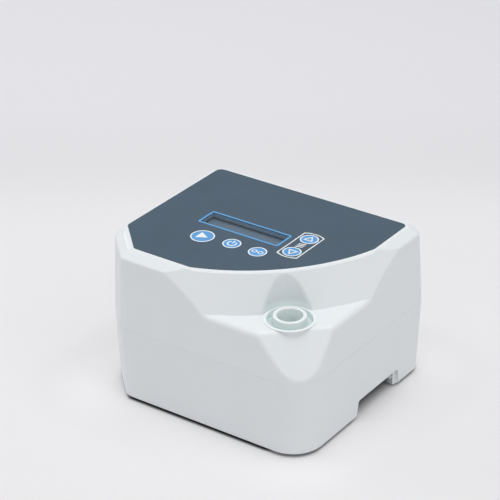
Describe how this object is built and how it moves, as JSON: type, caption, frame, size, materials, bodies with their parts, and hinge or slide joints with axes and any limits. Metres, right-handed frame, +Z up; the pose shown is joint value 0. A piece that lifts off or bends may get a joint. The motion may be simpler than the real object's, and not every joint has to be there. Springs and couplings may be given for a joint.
{
  "type": "cpap machine",
  "caption": "Bedside positive airway pressure machine with a flat keypad, display window and a hose spigot in a scooped corner.",
  "frame": {"origin": "bounding box bottom centre: the middle of the case, on the table", "axes": "+X towards the user's right as the keypad is read, +Y towards the back edge, +Z up"},
  "size_m": [0.1706, 0.1516, 0.1115],
  "materials": {
    "housing": "satin moulded ABS, off-white",
    "panel": "slate blue printed polycarbonate film",
    "window": "tinted clear window",
    "key": "light blue key caps, printed signs",
    "circuit_board": "green solder resist",
    "lcd_frame": "folded tin-plated bezel",
    "lcd_glass": "grey display glass",
    "switch": "black switch body",
    "steel": "zinc-plated screws",
    "ground_steel": "ground and hardened",
    "sensor": "white sensor housing",
    "hose": "translucent silicone",
    "duct": "light grey polypropylene",
    "port": "pale green-grey moulded tube",
    "rubber": "black rubber",
    "silicone": "grey silicone",
    "volute": "dark grey glass-filled nylon",
    "impeller": "white balanced impeller",
    "core": "laminated electrical steel",
    "copper": "enamelled copper wire",
    "magnet": "bonded ferrite",
    "foam": "open cell foam, dark grey",
    "filter": "white filter fleece",
    "drawer": "grey moulded tray",
    "connector": "black connector body",
    "capacitor": "dark sleeve"
  },
  "bodies": {
    "base": {"upper_housing": "housing", "lower_housing": "housing", "housing_screws": "steel", "rubber_feet": "rubber", "panel_overlay": "panel", "display_window": "window", "control_board": "circuit_board", "lcd_module": "lcd_frame", "lcd_glass": "lcd_glass", "tact_switches": "switch", "board_screws": "steel", "pressure_sensor": "sensor", "sensor_tube": "hose", "blower_base": "volute", "blower_cover": "volute", "volute_screws": "steel", "blower_mounts": "silicone", "bearings": "ground_steel", "stator": "core", "motor_windings": "copper", "outlet_coupling": "silicone", "outlet_elbow": "duct", "outlet_port": "port", "outlet_seal": "rubber", "inlet_foam": "foam", "power_board": "circuit_board", "dc_jack": "connector", "power_capacitors": "capacitor"},
    "key_start": {"key_start": "key"},
    "key_power": {"key_power": "key"},
    "key_ramp": {"key_ramp": "key"},
    "key_up": {"key_up": "key"},
    "key_down": {"key_down": "key"},
    "rotor": {"impeller": "impeller", "motor_shaft": "ground_steel", "rotor_can": "ground_steel", "rotor_magnet": "magnet"},
    "drawer": {"filter_drawer": "drawer", "air_filter": "filter"}
  },
  "joints": [
    {"name": "key_start_press", "type": "slide", "parent": "base", "child": "key_start", "axis": [0, 0, -1], "range_m": [0, 0.0005], "stiffness_N_per_m": 2000},
    {"name": "key_power_press", "type": "slide", "parent": "base", "child": "key_power", "axis": [0, 0, -1], "range_m": [0, 0.0005], "stiffness_N_per_m": 2000},
    {"name": "key_ramp_press", "type": "slide", "parent": "base", "child": "key_ramp", "axis": [0, 0, -1], "range_m": [0, 0.0005], "stiffness_N_per_m": 2000},
    {"name": "key_up_press", "type": "slide", "parent": "base", "child": "key_up", "axis": [0, 0, -1], "range_m": [0, 0.0005], "stiffness_N_per_m": 2000},
    {"name": "key_down_press", "type": "slide", "parent": "base", "child": "key_down", "axis": [0, 0, -1], "range_m": [0, 0.0005], "stiffness_N_per_m": 2000},
    {"name": "rotor_spin", "type": "hinge", "parent": "base", "child": "rotor", "pos_m": [-0.02, -0.01282, 0.045], "axis": [0, 0, 1], "continuous": true},
    {"name": "drawer_slide", "type": "slide", "parent": "base", "child": "drawer", "axis": [1, 0, 0], "range_m": [0, 0.043]}
  ]
}
